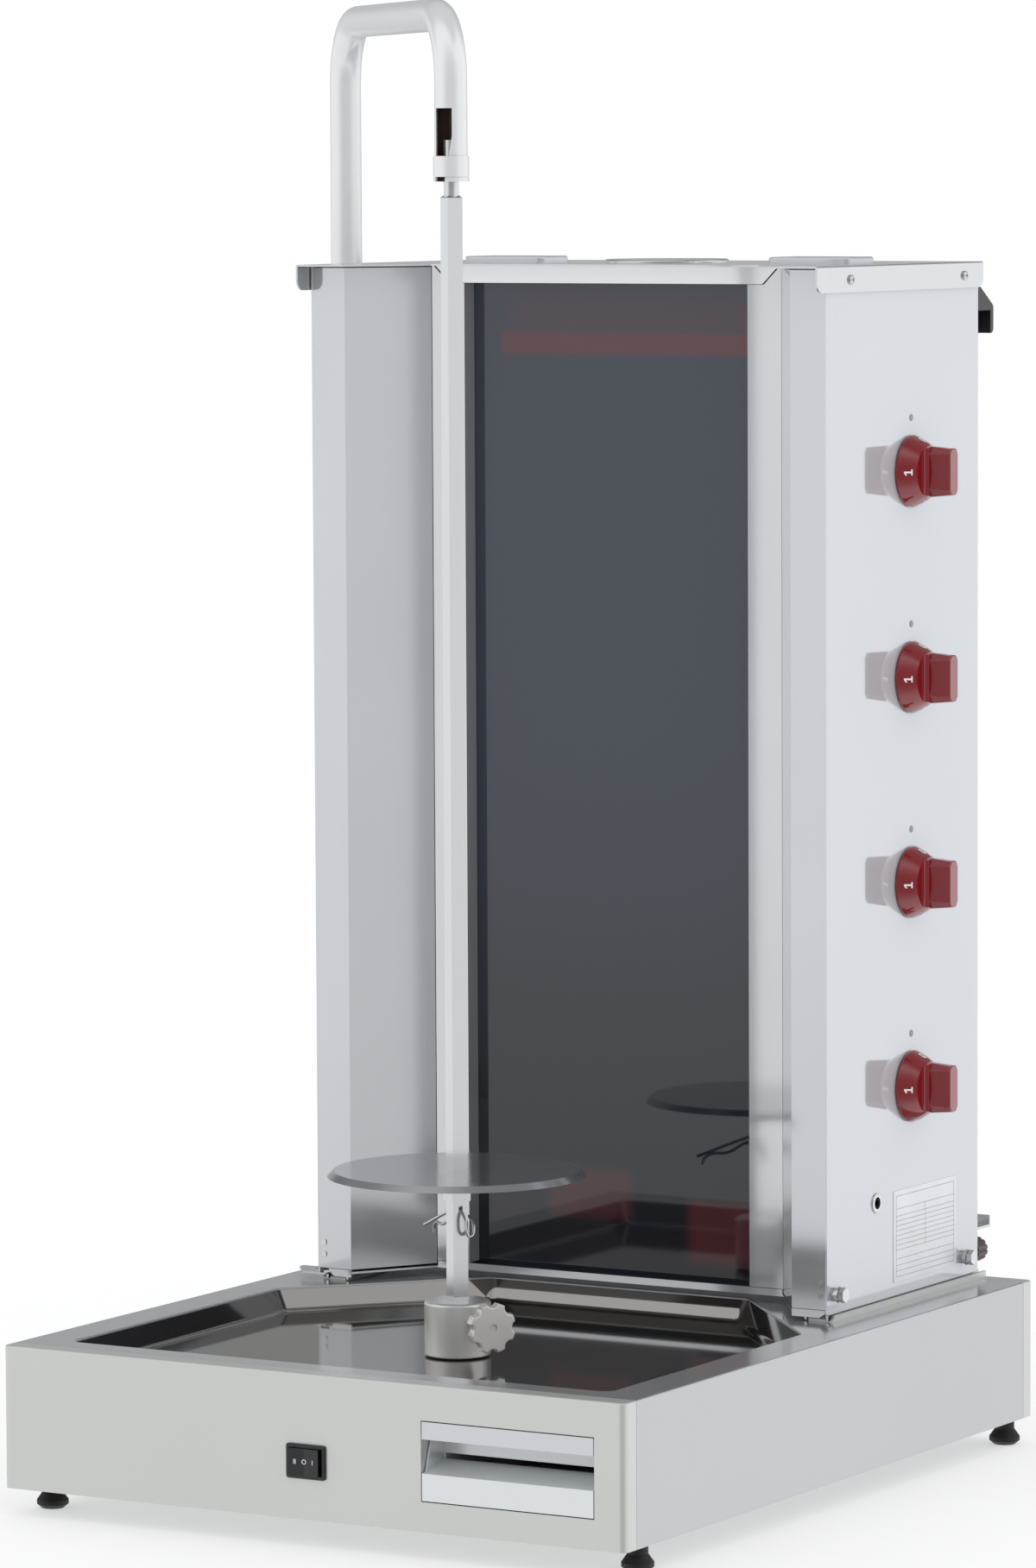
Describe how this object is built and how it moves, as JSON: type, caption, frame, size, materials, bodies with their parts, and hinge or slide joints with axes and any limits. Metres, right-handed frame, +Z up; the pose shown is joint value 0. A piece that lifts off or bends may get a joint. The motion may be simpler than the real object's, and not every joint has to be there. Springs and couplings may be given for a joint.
{
  "type": "doner kebab grill",
  "caption": "Free-standing electric vertical grill: driven spit over a drip tray with fat drawer, tube arm above, and a sliding heater tower with dark glass and red selector knobs.",
  "frame": {"origin": "on the floor under the middle of the overall box", "axes": "+X to the right seen from the front, front faces -Y, +Z up"},
  "size_m": [0.52, 0.6554, 1.1],
  "materials": {
    "base_steel": "fine brushed stainless",
    "drawer_steel": "smooth stainless sheet",
    "tower_steel": "glossy stainless sheet",
    "mirror_steel": "polished stainless sheet",
    "tray_steel": "polished stainless tray",
    "tube_steel": "satin stainless tube",
    "spit_steel": "bright stainless",
    "zinc_steel": "zinc plated",
    "inner_steel": "plain sheet inside",
    "ceramic_glass": "dark ceramic glass",
    "knob_red": "dark red gloss",
    "dark_plastic": "black moulded",
    "gland_grey": "dark grey nylon",
    "rocker_black": "black rocker",
    "foot_rubber": "dark rubber",
    "dot_grey": "printed dot",
    "plate_silver": "bare plate",
    "motor_grey": "painted casting",
    "nylon_white": "nylon",
    "bush_bronze": "dark sintered bronze",
    "element_dark": "heater tube"
  },
  "bodies": {
    "base": {"base_shell": "base_steel", "base_front_panel": "base_steel", "base_rear_panel": "base_steel", "base_bottom_plate": "inner_steel", "drip_tray": "tray_steel", "feet": "foot_rubber", "drawer_runners": "inner_steel", "gear_motor": "motor_grey", "motor_bracket": "inner_steel", "bearing_housing": "inner_steel", "shaft_seal": "dark_plastic", "switch_housing": "dark_plastic", "support_arm": "tube_steel", "arm_socket": "inner_steel", "arm_bush": "bush_bronze", "slide_rails": "base_steel"},
    "tower": {"right_side_panel": "tower_steel", "left_side_panel": "tower_steel", "tower_rear_panel": "tower_steel", "tower_floor": "mirror_steel", "left_wing": "mirror_steel", "right_wing": "mirror_steel", "left_frame_column": "mirror_steel", "right_frame_column": "mirror_steel", "frame_header": "mirror_steel", "frame_bottom_rail": "mirror_steel", "glass_panel": "ceramic_glass", "roof": "tower_steel", "roof_vents": "tower_steel", "heater_trays": "inner_steel", "heater_elements": "element_dark", "selector_switches": "dark_plastic", "terminal_block": "nylon_white", "index_dots": "dot_grey", "panel_bush": "zinc_steel", "rating_plate": "plate_silver", "runner_left": "zinc_steel", "runner_right": "zinc_steel", "runner_bolts": "zinc_steel", "spring_washers": "zinc_steel", "panel_screws": "zinc_steel", "rear_handles": "dark_plastic", "cable_hook": "zinc_steel", "cable_gland": "gland_grey"},
    "spit": {"drive_shaft": "spit_steel", "spit_socket": "spit_steel", "spit_rod": "spit_steel", "meat_disc": "spit_steel", "disc_collar": "spit_steel", "r_clip": "spit_steel"},
    "star_screw": {"star_knob": "spit_steel"},
    "lock_ring": {"lock_ring": "tube_steel"},
    "drawer": {"drawer_box": "drawer_steel", "drawer_strip": "drawer_steel", "drawer_pull": "drawer_steel"},
    "rocker": {"switch_rocker": "rocker_black"},
    "knob_1": {"knob_1": "knob_red"},
    "knob_2": {"knob_2": "knob_red"},
    "knob_3": {"knob_3": "knob_red"},
    "knob_4": {"knob_4": "knob_red"}
  },
  "joints": [
    {"name": "tower_slide", "type": "slide", "parent": "base", "child": "tower", "axis": [0, -1, 0], "range_m": [0, 0.07]},
    {"name": "spit_turn", "type": "hinge", "parent": "base", "child": "spit", "pos_m": [0, -0.11275, 0.1075], "axis": [0, 0, 1], "continuous": true},
    {"name": "star_screw_turn", "type": "hinge", "parent": "spit", "child": "star_screw", "pos_m": [0, -0.11275, 0.136], "axis": [0.8358, -0.549, 0], "range_deg": [0, 360]},
    {"name": "lock_ring_lift", "type": "slide", "parent": "base", "child": "lock_ring", "axis": [0, 0, 1], "range_m": [0, 0.03]},
    {"name": "drawer_slide", "type": "slide", "parent": "base", "child": "drawer", "axis": [0, -1, 0], "range_m": [0, 0.25]},
    {"name": "rocker_tilt", "type": "hinge", "parent": "base", "child": "rocker", "pos_m": [0, -0.31875, 0.062], "axis": [0, 0, 1], "range_deg": [-9, 9]},
    {"name": "knob_1_turn", "type": "hinge", "parent": "tower", "child": "knob_1", "pos_m": [0.221, 0.18425, 0.2867], "axis": [-1, 0, 0], "range_deg": [0, 270]},
    {"name": "knob_2_turn", "type": "hinge", "parent": "tower", "child": "knob_2", "pos_m": [0.221, 0.18425, 0.4409], "axis": [-1, 0, 0], "range_deg": [0, 270]},
    {"name": "knob_3_turn", "type": "hinge", "parent": "tower", "child": "knob_3", "pos_m": [0.221, 0.18425, 0.5951], "axis": [-1, 0, 0], "range_deg": [0, 270]},
    {"name": "knob_4_turn", "type": "hinge", "parent": "tower", "child": "knob_4", "pos_m": [0.221, 0.18425, 0.7493], "axis": [-1, 0, 0], "range_deg": [0, 270]}
  ]
}
